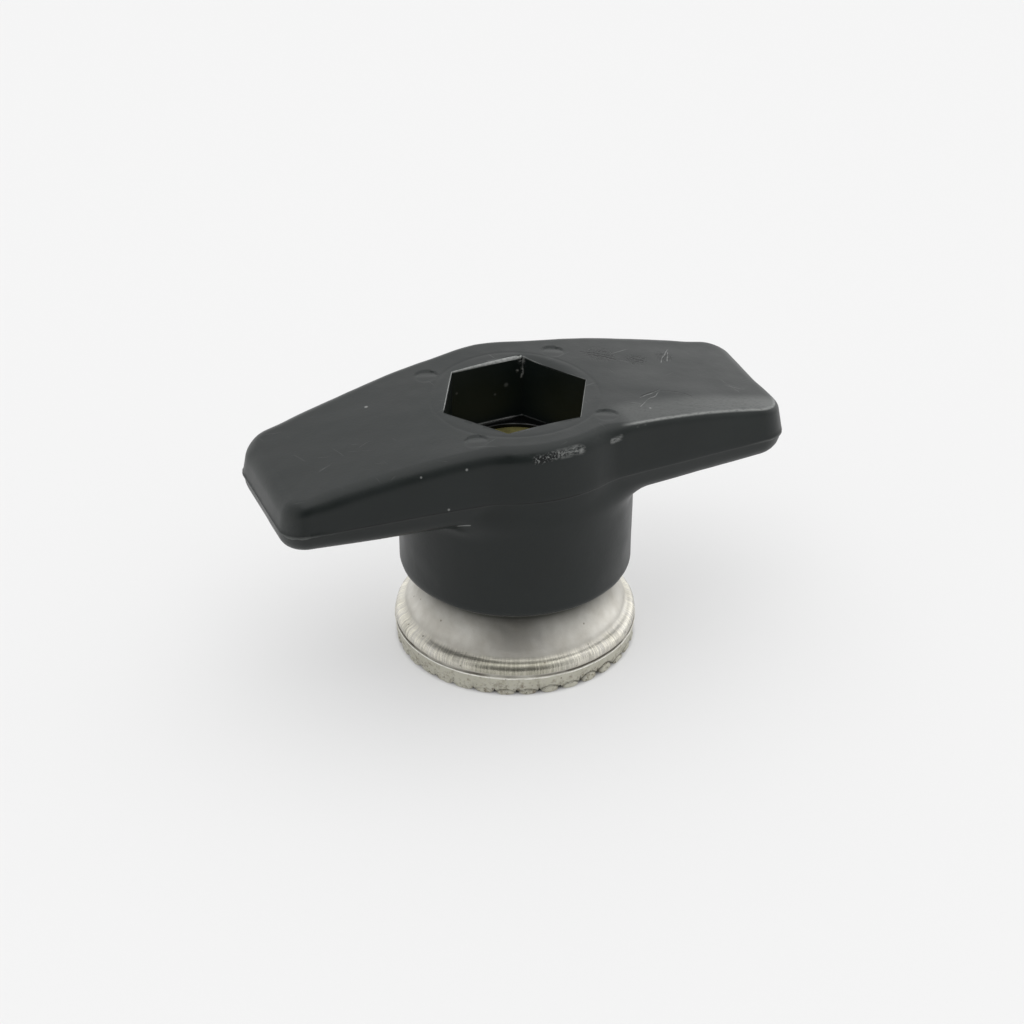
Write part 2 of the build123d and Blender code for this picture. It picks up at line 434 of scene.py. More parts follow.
# %% Worn edges
# The right wing's front edge has a burr with nicks, and the hub's front edge has been knocked.
on_right_edge = smooth_step(x, 7, 9) * smooth_step(y, -4, -6) * outer
edge_line = np.exp(-((normals[:, 2] - 0.90) / 0.07) ** 2) * on_right_edge
nicks = smooth_step(waves(points, 0.9, 5), 0.9, 1.6)
lift += edge_line * (0.03 - 0.06 * nicks)
hub_edge = np.exp(-((normals[:, 2] - 0.5) / 0.25) ** 2)
hub_edge = hub_edge * smooth_step(np.abs(x), 8, 3) * (y < -6) * outer
lift -= hub_edge * 0.07 * smooth_step(waves(points, 1.1, 6), 0.5, 1.5)
points += normals * lift[:, None]
print("marks move the skin by", lift.min().round(3), "to", lift.max().round(3), "mm")

# %% The worn and torn rim
# The rim has sunk at the back right, where spanners went in, and has torn at the back corner.
round_angle = np.degrees(np.arctan2(y, x))
from_wall = np.hypot(x, y) - np.tile(hexagon_radius, len(rings))
worn_side = np.exp(-((round_angle - 36) / 20) ** 2)
by_rim = on_top | (kinds == "rim")
points[:, 2] -= by_rim * 0.26 * worn_side * np.exp(-(from_wall / 0.55) ** 2)
torn = np.exp(-((round_angle - 63) / 3.5) ** 2) * (kinds == "rim")
points[:, 2] -= torn * 0.12 * waves(points, 0.5, 7)
points[:, 0] = np.clip(points[:, 0], -half_span, half_span)
points[:, 2] = np.clip(points[:, 2], hub_bottom, crown_height)
print("handle from", points.min(0).round(2), "to", points.max(0).round(2), "mm")


# %% [markdown]
# A net like this becomes a mesh when each ring is joined to the next. The same helper serves
# every turned or fanned piece: it closes the net round the axis and from the last ring back to
# the first, turns the faces outwards, and keeps per-point values that the finish will use.

# %% Net to mesh
def mesh_from_net(name, points, ring_total, columns, marks, crease=35):
    """Makes a closed mesh from rings of points in mm; edges sharper than crease stay crisp."""
    index = np.arange(ring_total * columns).reshape(ring_total, columns)
    right = np.roll(index, -1, axis=1)
    down = np.roll(index, -1, axis=0)
    across = np.roll(right, -1, axis=0)
    faces = np.stack([index, down, across, right], -1).reshape(-1, 4)
    corners = points[faces]
    diagonals = np.cross(corners[:, 2] - corners[:, 0], corners[:, 3] - corners[:, 1])
    if (corners.mean(1) * diagonals).sum() < 0:
        faces = faces[:, ::-1]
    mesh = bpy.data.meshes.new(name)
    mesh.vertices.add(len(points))
    mesh.vertices.foreach_set("co", (points * MM).astype(np.float32).ravel())
    mesh.loops.add(faces.size)
    mesh.loops.foreach_set("vertex_index", faces.astype(np.int32).ravel())
    mesh.polygons.add(len(faces))
    mesh.polygons.foreach_set("loop_start", np.arange(0, faces.size, 4, dtype=np.int32))
    mesh.polygons.foreach_set("use_smooth", np.ones(len(faces), dtype=bool))
    mesh.update(calc_edges=True)
    mesh.validate()
    mesh.set_sharp_from_angle(angle=math.radians(crease))
    for mark, values in marks.items():
        layer = mesh.attributes.new(mark, "FLOAT", "POINT")
        layer.data.foreach_set("value", np.asarray(values, dtype=np.float32))
    made = bpy.data.objects.new(name, mesh)
    bpy.context.scene.collection.objects.link(made)
    print(name, "points", len(points), "faces", len(mesh.polygons))
    return made


# %% Values that the finish will use
# How pale the rim is painted differs from one side of the hexagon to the next: partly wear, partly a painted
# highlight, brightest on the back left and left sides.
sides = [(round_angle > 63) & (round_angle < 123), round_angle > 123, round_angle > 3, round_angle > -57]
rim_wear_and_highlight = np.select(sides, [1.0, 0.85, 0.3, 0.5], 0.1)
at_ledge = smooth_step(np.abs(round_angle - 100), 34, 26)
ledge = (kinds == "socket") & (z < socket_floor + 0.1) & (from_wall > -0.2)
# A painted shadow line along the parting line, faint on the right wing and none at the ends, plus one just
# above the flash at the ends.
seam_shadow = at_parting * (1 - tip_share) * (0.2 + 0.8 * (x < 2)) + above_flash
# The bore and the socket's floor are painted darker as the shade deep in the socket.
in_shaded_pit = (kinds == "bore") | (kinds == "socket") & (z < socket_floor + 0.05)
handle_marks = {
    "flash": np.where(kinds == "flash", at_parting * tip_share, 0),
    "seam_shadow": np.where(kinds == "flash", seam_shadow, 0),
    "pit": np.where(in_shaded_pit, 1.0, 0.0),
    "rim": np.where(kinds == "rim", rim_wear_and_highlight, 0.0),
    "edge_wear_and_highlight": np.clip(edge_line, 0, 1),
    "ledge": ledge * at_ledge,
}
print("values carried by the handle's points:", ", ".join(handle_marks))

# %% Make the handle
handle_moulding = mesh_from_net("handle_moulding", points, len(rings), column_count, handle_marks)
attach(handle_moulding, "root")
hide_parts("handle")

# %% [markdown]
# ## The foot
# The foot is turned from bar: a toothed band at the bottom, a rounded bead, and a hollow flare
# that runs up under the hub. A lathe would follow one outline, and so does this mesh. The
# outline is walked once, with close points where the shape turns, and then spun round the axis.
# The teeth are pressed into the lower edge afterwards, so they are moved points on that net.

# %% The foot's outline
tooth_count = 34
columns_per_tooth = 22
band_height = 2.1
band_lower_radius = rim_radius - band_height * tan_deg(9)
ring_inner_radius = band_lower_radius - 2.0
hollow_height = 1.2
line_radius = rim_radius - 0.18
bead_bottom = band_height + 0.2
bead_top = bead_bottom + 1.15
bead_top_radius = rim_radius - 0.72
flare_radius = rim_radius - 1.25
flare_start = bead_top + 0.55
neck_radius = 8.85
shoulder_height = hub_bottom - 0.05
outline = []
print("foot: rim", round(rim_radius, 2), "band", band_height, "bead to", round(bead_top, 2), "mm")


# %% Lines and bows
def line_to(radius, height, count):
    """Adds evenly spaced outline points up to and including this one."""
    start = np.array(outline[-1])
    for part in np.arange(1, count + 1) / count:
        outline.append(tuple(start + (np.array((radius, height)) - start) * part))


def bow_to(radius, height, bulge, count):
    """Adds a shallow or deep bow; bulge is how far its middle stands off the straight line."""
    start, end = np.array(outline[-1]), np.array((radius, height))
    chord = end - start
    length = np.linalg.norm(chord)
    out = np.array((chord[1], -chord[0])) / length
    bow_radius = (length**2 / 4 + bulge**2) / (2 * abs(bulge))
    for part in np.arange(1, count + 1) / count:
        along = (part - 0.5) * length
        rise = math.sqrt(bow_radius**2 - along**2) - (bow_radius - abs(bulge))
        outline.append(tuple(start + chord * part + out * rise * math.copysign(1, bulge)))


# %% Walk the outline
# Up the inside of the toothed ring, out along the ground, up the band, over the bead and the
# flare, up the spigot and back down the bore.
outline.append((ring_inner_radius, hollow_height))
line_to(ring_inner_radius + 0.02, 0.06, 4)
line_to(ring_inner_radius + 0.08, 0.0, 1)
line_to(band_lower_radius - 0.14, 0.0, 6)
bow_to(band_lower_radius + 0.02, 0.14, 0.04, 3)
line_to(rim_radius - 0.09, band_height - 0.1, 15)
bow_to(rim_radius - 0.1, band_height, 0.03, 3)
line_to(line_radius, band_height + 0.03, 1)
line_to(line_radius, bead_bottom - 0.03, 2)
bow_to(bead_top_radius, bead_top, 0.26, 14)
bow_to(flare_radius, flare_start, -0.10, 6)
bow_to(neck_radius, shoulder_height, -0.3, 16)
line_to(spigot_seat_radius - 0.05, shoulder_height, 2)
line_to(spigot_seat_radius - 0.05, spigot_top, 2)
line_to(core_seat_radius, spigot_top, 2)
line_to(core_seat_radius, hollow_height, 3)
line_to(ring_inner_radius - 0.1, hollow_height, 4)
outline = np.array(outline)
print("outline points", len(outline))

# %% [markdown]
# The teeth are rounded pads, side by side. Each one is worn in its own way: some stand full
# height, some are flattened, and a few on one side are smeared together. One random row of
# numbers per tooth, always drawn in the same order, gives that without drawing each by hand.

# %% Spin the outline and draw each tooth's wear
foot_columns = tooth_count * columns_per_tooth
foot_angle = np.arange(foot_columns) / foot_columns * 2 * math.pi
radius_grid = np.repeat(outline[:, 0][:, None], foot_columns, axis=1)
height_grid = np.repeat(outline[:, 1][:, None], foot_columns, axis=1)
tooth_position = foot_angle / (2 * math.pi) * tooth_count + 0.5
tooth_index = np.floor(tooth_position).astype(int) % tooth_count
across_tooth = (tooth_position % 1 - 0.5) * 2
wear = np.random.default_rng(11)
tooth_rise = wear.uniform(0.55, 1.0, tooth_count)
tooth_flat = wear.uniform(0.0, 0.45, tooth_count) ** 1.5
tooth_bulge = wear.uniform(0.02, 0.11, tooth_count)
smeared = (0.5 + 0.5 * np.cos((np.arange(tooth_count) + 0.5) / tooth_count * 2 * math.pi - 3.6)) ** 6
tooth_rise *= 1 - 0.55 * smeared
print("teeth", tooth_count, "rise between", tooth_rise.min().round(2), "and", tooth_rise.max().round(2), "mm")

# %% Press the teeth
# Between two teeth the lower edge is lifted off the ground, and round each pad runs a groove.
pad_low = 1.3               # below this height the metal belongs to the teeth
flat = tooth_flat[tooth_index]
reach = np.clip((np.abs(across_tooth) - flat) / (0.97 - flat), 0, 1)
notch = (1 - np.sqrt(1 - np.minimum(reach, 0.999) ** 2)) * 0.95 * tooth_rise[tooth_index]
lift_share = np.clip(1 - height_grid / pad_low, 0, 1)
in_teeth = (radius_grid > ring_inner_radius - 0.05) & (height_grid < pad_low)
inner_share = np.clip(1 - height_grid / hollow_height, 0, 1)
on_inner = in_teeth & (radius_grid < ring_inner_radius + 0.05)
share = np.where(on_inner, inner_share, np.where(in_teeth, lift_share, 0))
height_grid = height_grid + share * notch
pad_edge = np.hypot(across_tooth / 0.88, height_grid / tooth_rise[tooth_index])
on_band = (radius_grid > band_lower_radius - 0.2) & (height_grid < band_height - 0.2)
pad = np.clip((1.05 - pad_edge) / 0.25, 0, 1)
groove = np.exp(-((pad_edge - 1.12) / 0.10) ** 2) * (1 - smeared[tooth_index])
radius_grid = radius_grid + on_band * (tooth_bulge[tooth_index] * pad - 0.10 * groove)
print("notches up to", round(float(notch.max()), 2), "mm high")

# %% Dent the metal and close the mesh
foot_points = np.stack([radius_grid * np.cos(foot_angle), radius_grid * np.sin(foot_angle),
                        height_grid], -1).reshape(-1, 3)
shown_side = np.hypot(foot_points[:, 0], foot_points[:, 1]) > 8.5
dents = 0.012 * waves(foot_points, 1.6, 21) + 0.02 * waves(foot_points, 7, 22)
near_teeth = smooth_step(foot_points[:, 2], 1.9, 1.2)
dents += near_teeth * 0.025 * waves(foot_points, 0.7, 23)
outward = foot_points.copy()
outward[:, 2] = 0
outward /= np.linalg.norm(outward, axis=1)[:, None]
foot_points += outward * (dents * shown_side)[:, None]
reach_out = np.hypot(foot_points[:, 0], foot_points[:, 1])
foot_points[:, :2] *= np.minimum(1, rim_radius / reach_out)[:, None]
foot_points[:, 2] = np.maximum(foot_points[:, 2], 0)
# This value marks the groove round each pad and the notches between the teeth, painted dark as dirt and also
# as painted shade.
foot_marks = {
    "grime_and_shade": np.where(on_band, groove + 0.9 * np.clip(notch, 0, 1) * lift_share, 0).ravel(),
}
foot_collar = mesh_from_net("foot_collar", foot_points, len(outline), foot_columns, foot_marks, 50)
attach(foot_collar, "root")
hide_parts("foot")

# %% [markdown]
# ## Finishes
# A finish is a small tree of nodes. All of these start from the point's own place on the object
# in millimetres, so a mark stays where it is from every side and the size of each texture can
# be read off: a noise scale of 2 means about two blobs to the millimetre.

# %% Node helpers
def add_node(tree, kind, inputs=None, **settings):
    """Makes a node, sets it up, and plugs in numbers, colours or other nodes' outputs."""
    made = tree.nodes.new(kind)
    for name, value in settings.items():
        setattr(made, name, value)
    for name, value in (inputs or {}).items():
        if isinstance(value, bpy.types.NodeSocket):
            tree.links.new(value, made.inputs[name])
        else:
            made.inputs[name].default_value = value
    return made


def maths(tree, operation, first, second=0.0):
    """One sum on each point of the surface."""
    inputs = {0: first, 1: second}
    return add_node(tree, "ShaderNodeMath", inputs, operation=operation).outputs[0]


def times(tree, first, second):
    """Two masks multiplied: only where both are."""
    return maths(tree, "MULTIPLY", first, second)


def plus(tree, first, second):
    """Two heights or roughnesses added."""
    return maths(tree, "ADD", first, second)


def vector_maths(tree, operation, first, second=(0, 0, 0), out=0):
    """The same for places and directions; out=1 is for results that are one number."""
    inputs = {0: first, 1: second}
    return add_node(tree, "ShaderNodeVectorMath", inputs, operation=operation).outputs[out]


def point_mark(tree, name):
    """A value that the mesh carries at each of its points."""
    return add_node(tree, "ShaderNodeAttribute", attribute_name=name).outputs["Fac"]


# %% Noise, ranges and colours
def noise_colour(tree, place, scale):
    """A wandering vector of noise, each part about 0.3 to 0.7."""
    node = add_node(tree, "ShaderNodeTexNoise", {"Vector": place, "Scale": scale, "Detail": 1})
    return node.outputs["Color"]


def fit(tree, value, low, high, new_low=0.0, new_high=1.0):
    """Stretches a range of values to a new one, and holds it there."""
    inputs = {"Value": value, "From Min": low, "From Max": high, "To Min": new_low, "To Max": new_high}
    return add_node(tree, "ShaderNodeMapRange", inputs).outputs[0]


def noise(tree, place, scale, detail=2.0, roughness=0.5):
    """Smooth random blotches, mostly between 0.3 and 0.7."""
    inputs = {"Vector": place, "Scale": scale, "Detail": detail, "Roughness": roughness}
    return add_node(tree, "ShaderNodeTexNoise", inputs).outputs["Fac"]


def mix_colours(tree, share, first, second):
    """The first colour where share is 0, the second where it is 1."""
    inputs = {0: share, 6: first, 7: second}
    return add_node(tree, "ShaderNodeMix", inputs, data_type="RGBA").outputs[2]


# %% Start a finish and give it a bumpy skin
def new_finish(name):
    """An empty material with its shader, and the point's place in mm."""
    finish = bpy.data.materials.new(name)
    finish.use_nodes = True
    tree = finish.node_tree
    shader = tree.nodes["Principled BSDF"]
    spot = add_node(tree, "ShaderNodeTexCoord").outputs["Object"]
    place = vector_maths(tree, "MULTIPLY", spot, (1000, 1000, 1000))
    return finish, tree, shader, place


def bump_skin(tree, shader, height, strength):
    """Lets a height in mm tilt the light on the surface."""
    inputs = {"Height": height, "Strength": strength, "Distance": MM}
    bump = add_node(tree, "ShaderNodeBump", inputs)
    tree.links.new(bump.outputs[0], shader.inputs["Normal"])


# %% [markdown]
# ### Black nylon
# The handle's nylon is not one black. It is slightly mottled where the melt cooled unevenly,
# it has fine scratches every way, a few pale specks, and scuffs where it met other tools. Some
# edges, the hexagon's rim and the wing ends are painted a little lighter, partly as wear and
# partly as painted highlights, and the parting line, the grooves, the bore and the socket's
# floor are painted darker as painted shade. One even black with a bump would look like a toy.
# So the finish is built from masks, which are 1 where a mark is and 0 elsewhere, and the colours
# are mixed by them.

# %% Masks for single marks
def stroke(tree, place, start, end, width):
    """1 on a straight scratch between two places in mm, fading to 0 at its sides."""
    start, end = Vector(start), Vector(end)
    along = end - start
    offset = vector_maths(tree, "SUBTRACT", place, start)
    share = vector_maths(tree, "DOT_PRODUCT", offset, along / along.length_squared, out=1)
    share = add_node(tree, "ShaderNodeClamp", {0: share}).outputs[0]
    foot_point = add_node(tree, "ShaderNodeVectorMath", {0: along, 3: share}, operation="SCALE").outputs[0]
    away = vector_maths(tree, "DISTANCE", offset, foot_point, out=1)
    return fit(tree, away, width, 0.3 * width)


def dab(tree, place, centre, radius):
    """1 in the middle of a round patch at a place in mm, fading to 0 at its edge."""
    away = vector_maths(tree, "DISTANCE", place, centre, out=1)
    return fit(tree, away, radius, 0.4 * radius)


def any_of(tree, masks):
    """The strongest of several masks at each point."""
    total = masks[0]
    for mask in masks[1:]:
        total = maths(tree, "MAXIMUM", total, mask)
    return total


# %% The nylon's mottle and fine scratches
nylon, tree, shader, place = new_finish("black_nylon")
mottle = noise(tree, place, 0.16, 4, 0.6)
grain = noise(tree, place, 5.0, 3, 0.6)
peel = noise(tree, place, 1.1, 2, 0.5)
lines = []
for turn in (0.5, -0.35, 1.3):
    spun = add_node(tree, "ShaderNodeVectorRotate", {"Vector": place, "Angle": turn}).outputs[0]
    thin = vector_maths(tree, "MULTIPLY", spun, (0.12, 3.6, 0.25))
    lines.append(fit(tree, noise(tree, thin, 1.0, 2, 0.6), 0.68, 0.74))
fine_scratches = any_of(tree, lines)
patchy = fit(tree, noise(tree, place, 0.35, 2), 0.5, 0.62)
fine_scratches = times(tree, fine_scratches, patchy)
facing = add_node(tree, "ShaderNodeTexCoord").outputs["Normal"]
facing_up = add_node(tree, "ShaderNodeSeparateXYZ", {0: facing}).outputs[2]
fine_scratches = times(tree, fine_scratches, fit(tree, facing_up, 0.75, 0.95))
print("nodes for the mottle and the fine scratches:", len(tree.nodes))

# %% [markdown]
# Some marks are not random: a tool slipped on the right wing and left two bright scratches and
# a curved groove, the back of that wing was rubbed, and the front edge over the hub has been
# knocked shiny, with a painted highlight on the knocked patches. The grooves are also painted
# dark as their shadow. Each is a stroke or a dab at its own place, broken up by noise.

# %% Scratches and grooves on the right wing
rub = noise(tree, vector_maths(tree, "MULTIPLY", place, (1, 2.2, 1)), 2.6, 4, 0.7)
wander = vector_maths(tree, "SUBTRACT", noise_colour(tree, place, 0.55), (0.5, 0.5, 0.5))
hand = vector_maths(tree, "ADD", place, vector_maths(tree, "MULTIPLY", wander, (0.7, 0.7, 0)))
bright = any_of(tree, [
    stroke(tree, hand, (11.3, -4.1, 26.35), (13.9, -3.1, 26.02), 0.055),
    stroke(tree, hand, (10.6, -5.8, 26.43), (13.8, -3.3, 26.03), 0.06),
    stroke(tree, hand, (16.5, 2.7, 25.61), (18.4, 5.2, 25.28), 0.06),
    stroke(tree, hand, (17.3, 2.9, 25.45), (18.2, 4.6, 25.32), 0.05),
])
# The grooves are cut into the bump and also painted dark, as the shadow inside them.
groove = any_of(tree, [
    stroke(tree, hand, (11.4, -3.9, 26.34), (14.0, -2.9, 26.0), 0.07),
    stroke(tree, hand, (13.9, -3.3, 26.02), (15.3, -3.6, 25.82), 0.08),
    stroke(tree, hand, (15.3, -3.6, 25.82), (16.3, -4.8, 25.65), 0.06),
    stroke(tree, hand, (9.4, 5.9, 26.55), (11.7, 4.6, 26.3), 0.09),
    stroke(tree, hand, (9.8, 5.2, 26.5), (12.0, 3.7, 26.27), 0.10),
    stroke(tree, hand, (13.6, 3.9, 26.06), (14.9, 3.0, 25.87), 0.08),
])

# %% The rubbed back and the knocked front edge
rubbed = any_of(tree, [
    dab(tree, place, (11.0, 5.0, 26.4), 1.7),
    dab(tree, place, (14.2, 3.4, 25.99), 1.4),
    dab(tree, place, (17.3, 3.8, 25.5), 1.2),
])
rubbed = times(tree, rubbed, fit(tree, rub, 0.52, 0.60))
# A faint pale patch on the right wing, partly a smear and partly a painted sheen.
smear_and_sheen = dab(tree, place, (13.6, 0.6, 26.1), 3.2)
streaks = noise(tree, vector_maths(tree, "MULTIPLY", place, (1, 1, 3)), 1.6, 4, 0.75)
# The knocked patches are painted pale as a painted highlight, and are also made less rough.
knocked_and_highlight = any_of(tree, [
    stroke(tree, hand, (0.1, -10.95, 26.25), (2.3, -10.75, 26.15), 0.6),
    stroke(tree, hand, (6.1, -9.75, 25.65), (6.9, -9.5, 25.75), 0.38),
    stroke(tree, hand, (8.8, -8.8, 26.15), (9.5, -8.65, 26.2), 0.35),
])
knocked_and_highlight = times(tree, knocked_and_highlight, fit(tree, streaks, 0.38, 0.62))
crumb_place = stroke(tree, hand, (-2.1, -10.95, 26.05), (0.3, -11.0, 26.3), 0.55)
crumbs = times(tree, crumb_place, fit(tree, grain, 0.52, 0.58))
crumb_shade = times(tree, crumb_place, fit(tree, grain, 0.50, 0.44))

# %% Torn flash in the socket, and stray spots
torn_flash = any_of(tree, [
    stroke(tree, hand, (3.38, 6.62, 26.85), (3.38, 6.62, 24.6), 0.16),
    dab(tree, place, (3.3, 6.5, 26.4), 0.45),
    dab(tree, place, (2.9, 6.6, 25.4), 0.22),
    dab(tree, place, (3.8, 6.4, 25.9), 0.2),
])
torn_flash = times(tree, torn_flash, fit(tree, grain, 0.46, 0.54))
wall_spots = any_of(tree, [
    dab(tree, place, (0.5, 6.5, 23.3), 0.17),
    dab(tree, place, (1.7, 6.6, 24.1), 0.30),
    dab(tree, place, (-3.6, 6.3, 24.4), 0.17),
])
pale_spots = any_of(tree, [
    dab(tree, place, (-13.6, 4.4, 26.06), 0.22),
    dab(tree, place, (-12.9, -8.7, 25.4), 0.16),
    dab(tree, place, (-10.5, -9.5, 21.8), 0.16),
    dab(tree, place, (-8.6, -9.3, 25.6), 0.16),
    stroke(tree, place, (-9.4, -9.0, 19.4), (-8.3, -9.2, 19.4), 0.12),
    dab(tree, place, (11.3, -6.4, 26.36), 0.16),
])

# %% Ends, edges and the marks that the mesh carries
parts = add_node(tree, "ShaderNodeSeparateXYZ", {0: place})
level = parts.outputs[2]
across = parts.outputs[0]
# The wing ends are painted paler, partly as scuffing and partly as a painted highlight.
end_scuff_and_highlight = fit(tree, maths(tree, "ABSOLUTE", across), half_span - 1.8, half_span - 0.5)
end_scuff_and_highlight = times(tree, end_scuff_and_highlight, fit(tree, rub, 0.3, 0.6, 0.6, 1.0))
low_edge = fit(tree, level, hub_bottom + 0.30, hub_bottom + 0.12)
# The painted shadow line along the parting line.
seam_shadow_mark = point_mark(tree, "seam_shadow")
seam_shadow_mark = times(tree, seam_shadow_mark, fit(tree, mottle, 0.35, 0.5, 0.4, 1.0))
rim_mark = point_mark(tree, "rim")
flash_mark = point_mark(tree, "flash")
# The right wing's front edge is painted paler, partly as wear on the burr and partly as a painted highlight
# on the rounded edge.
edge_wear_and_highlight_mark = point_mark(tree, "edge_wear_and_highlight")
ledge_mark = point_mark(tree, "ledge")
edge_wear_and_highlight_mark = times(tree, edge_wear_and_highlight_mark, fit(tree, rub, 0.3, 0.5, 0.35, 1.0))
# Painted shade in the bore and on the socket's floor.
pit_shade_mark = point_mark(tree, "pit")

# %% Gather what is worn pale or painted as highlight, and what is dark or painted as shade
# Pale marks: real wear, scratches, spots and flash, with painted highlights on the right wing's front edge,
# the knocked patches and the wing ends, and a faint painted sheen.
worn_and_highlight = any_of(tree, [
    times(tree, bright, fit(tree, grain, 0.35, 0.5, 0.2, 1.0)),
    times(tree, edge_wear_and_highlight_mark, 0.8),
    times(tree, flash_mark, 0.55),
    times(tree, ledge_mark, 0.9),
    knocked_and_highlight,
    times(tree, crumbs, 0.8),
    times(tree, wall_spots, 0.35),
    times(tree, fine_scratches, 0.25),
    times(tree, low_edge, 0.16),
    times(tree, end_scuff_and_highlight, 0.13),
    times(tree, smear_and_sheen, 0.05),
    torn_flash,
    pale_spots,
])
# Dark marks and painted shade: grooves with their painted shadow, the painted seam shadow, rubbed marks,
# crumb shade, and the painted shade of the bore and socket floor.
dark_marks_and_shade = any_of(tree, [groove, seam_shadow_mark, rubbed, crumb_shade, pit_shade_mark])
pale_rim_and_highlight = times(tree, rim_mark, fit(tree, rub, 0.3, 0.6, 0.5, 1.0))
pale_rim_and_highlight = maths(tree, "MAXIMUM", pale_rim_and_highlight, times(tree, edge_wear_and_highlight_mark, 0.35))
print("nodes in the nylon with all its marks:", len(tree.nodes))

# %% Put the nylon together
nylon_deep = (0.0036, 0.0060, 0.0054, 1)
nylon_light = (0.0064, 0.0096, 0.0090, 1)
worn_and_highlight_grey = (0.17, 0.175, 0.17, 1)
rim_grey = (0.30, 0.31, 0.30, 1)
black_for_marks_and_shade = (0.001, 0.001, 0.001, 1)
base = mix_colours(tree, fit(tree, mottle, 0.3, 0.7), nylon_deep, nylon_light)
base = mix_colours(tree, worn_and_highlight, base, worn_and_highlight_grey)
base = mix_colours(tree, pale_rim_and_highlight, base, rim_grey)
base = mix_colours(tree, times(tree, dark_marks_and_shade, 0.9), base, black_for_marks_and_shade)
tree.links.new(base, shader.inputs["Base Color"])
rough = fit(tree, mottle, 0.3, 0.7, 0.34, 0.46)
rough = plus(tree, rough, times(tree, dark_marks_and_shade, 0.15))
rough = maths(tree, "SUBTRACT", rough, times(tree, pit_shade_mark, 0.35))
rough = maths(tree, "SUBTRACT", rough, times(tree, knocked_and_highlight, 0.12))
tree.links.new(rough, shader.inputs["Roughness"])

# %% The nylon's grain, and how deep each mark goes, in mm
height = times(tree, grain, 0.010)
height = plus(tree, height, times(tree, peel, 0.014))
mark_depths = ((fine_scratches, -0.012), (rubbed, -0.05), (groove, -0.07), (bright, -0.03),
               (crumbs, 0.05), (torn_flash, 0.04))
for mask, depth in mark_depths:
    height = plus(tree, height, times(tree, mask, depth))
bump_skin(tree, shader, height, 0.7)
shader.inputs["IOR"].default_value = 1.39
handle_moulding.data.materials.append(nylon)
print("the nylon's tree has", len(tree.nodes), "nodes")

# %% [markdown]
# ### Satin nickel
# Nickel plate on turned brass is a warm pale grey. The lathe left fine rings on the flare, and
# a wire brush left short strokes up and down the bead. Low on the band the plating is stained
# brown, and the line above the band is darkened. The flare under the hub carries a painted shadow,
# the grooves and notches of the teeth carry dirt and painted shade, the bead's front is painted
# darker as a reflection with painted highlights at its sides, and the band's top lip has a
# painted highlight. One polished metal with dirt over it would look new, so the finish is laid
# in layers, in the order in which they came.

# %% Brush strokes, lathe rings and zones of the foot
nickel, tree, shader, place = new_finish("satin_nickel")
parts = add_node(tree, "ShaderNodeSeparateXYZ", {0: place})
level = parts.outputs[2]
flat_place = vector_maths(tree, "MULTIPLY", place, (1, 1, 0))
from_centre = vector_maths(tree, "LENGTH", flat_place, out=1)
heading = vector_maths(tree, "NORMALIZE", flat_place)
round_it = vector_maths(tree, "MULTIPLY", heading, (70, 70, 0))
brush_place = vector_maths(tree, "ADD", round_it, vector_maths(tree, "MULTIPLY", place, (0, 0, 0.5)))
brush = noise(tree, brush_place, 1.0, 3, 0.7)
turned_place = add_node(tree, "ShaderNodeCombineXYZ", {0: from_centre, 1: level}).outputs[0]
turned_place = vector_maths(tree, "MULTIPLY", turned_place, (5, 5, 5))
turned_place = vector_maths(tree, "ADD", turned_place,
                            vector_maths(tree, "MULTIPLY", heading, (0.6, 0.6, 0.6)))
turned = noise(tree, turned_place, 1.0, 3, 0.6)
blotch = noise(tree, place, 0.45, 4, 0.6)
fine = noise(tree, place, 4.0, 3, 0.6)
on_bead = times(tree, fit(tree, level, bead_bottom, bead_bottom + 0.2),
                fit(tree, level, bead_top + 0.45, bead_top - 0.05))
low_band = fit(tree, level, band_height + 0.15, band_height - 0.2)
in_line = times(tree, fit(tree, level, band_height - 0.04, band_height + 0.04),
                fit(tree, level, bead_bottom + 0.06, bead_bottom - 0.02))
grime_and_shade_mark = point_mark(tree, "grime_and_shade")
print("nodes for the foot's textures and zones:", len(tree.nodes))

# %% Plating, tarnish and brushed metal
nickel_pale = (0.60, 0.585, 0.54, 1)
nickel_dull = (0.50, 0.48, 0.43, 1)
bead_tarnish_and_shade = (0.30, 0.29, 0.22, 1)
brushed_bright = (0.82, 0.79, 0.68, 1)
band_worn = (0.56, 0.55, 0.45, 1)
lip_highlight_colour = (0.95, 0.94, 0.88, 1)
metal = mix_colours(tree, fit(tree, blotch, 0.35, 0.7), nickel_pale, nickel_dull)
brushed_and_side_highlight = times(tree, on_bead, fit(tree, brush, 0.42, 0.62))
# The bead's front, facing the tent's dark opening, is painted darker as a painted reflection of that opening,
# mixed with real blotchy tarnish.
towards_front = vector_maths(tree, "DOT_PRODUCT", heading, (-0.374, -0.927, 0), out=1)
bead_front_shade = times(tree, on_bead, fit(tree, towards_front, 0.82, 0.97))
blotched = times(tree, on_bead, fit(tree, blotch, 0.45, 0.7, 0, 0.5))
tarnish_and_front_shade = maths(tree, "MAXIMUM", bead_front_shade, blotched)
metal = mix_colours(tree, times(tree, tarnish_and_front_shade, 0.75), metal, bead_tarnish_and_shade)
# The brushed strokes are painted fainter at the front, so the bead's sides carry a painted highlight.
brushed_and_side_highlight = times(tree, brushed_and_side_highlight, fit(tree, bead_front_shade, 0, 1, 0.85, 0.35))
metal = mix_colours(tree, brushed_and_side_highlight, metal, brushed_bright)
on_band = times(tree, low_band, fit(tree, fine, 0.3, 0.7, 0.3, 0.9))
metal = mix_colours(tree, on_band, metal, band_worn)
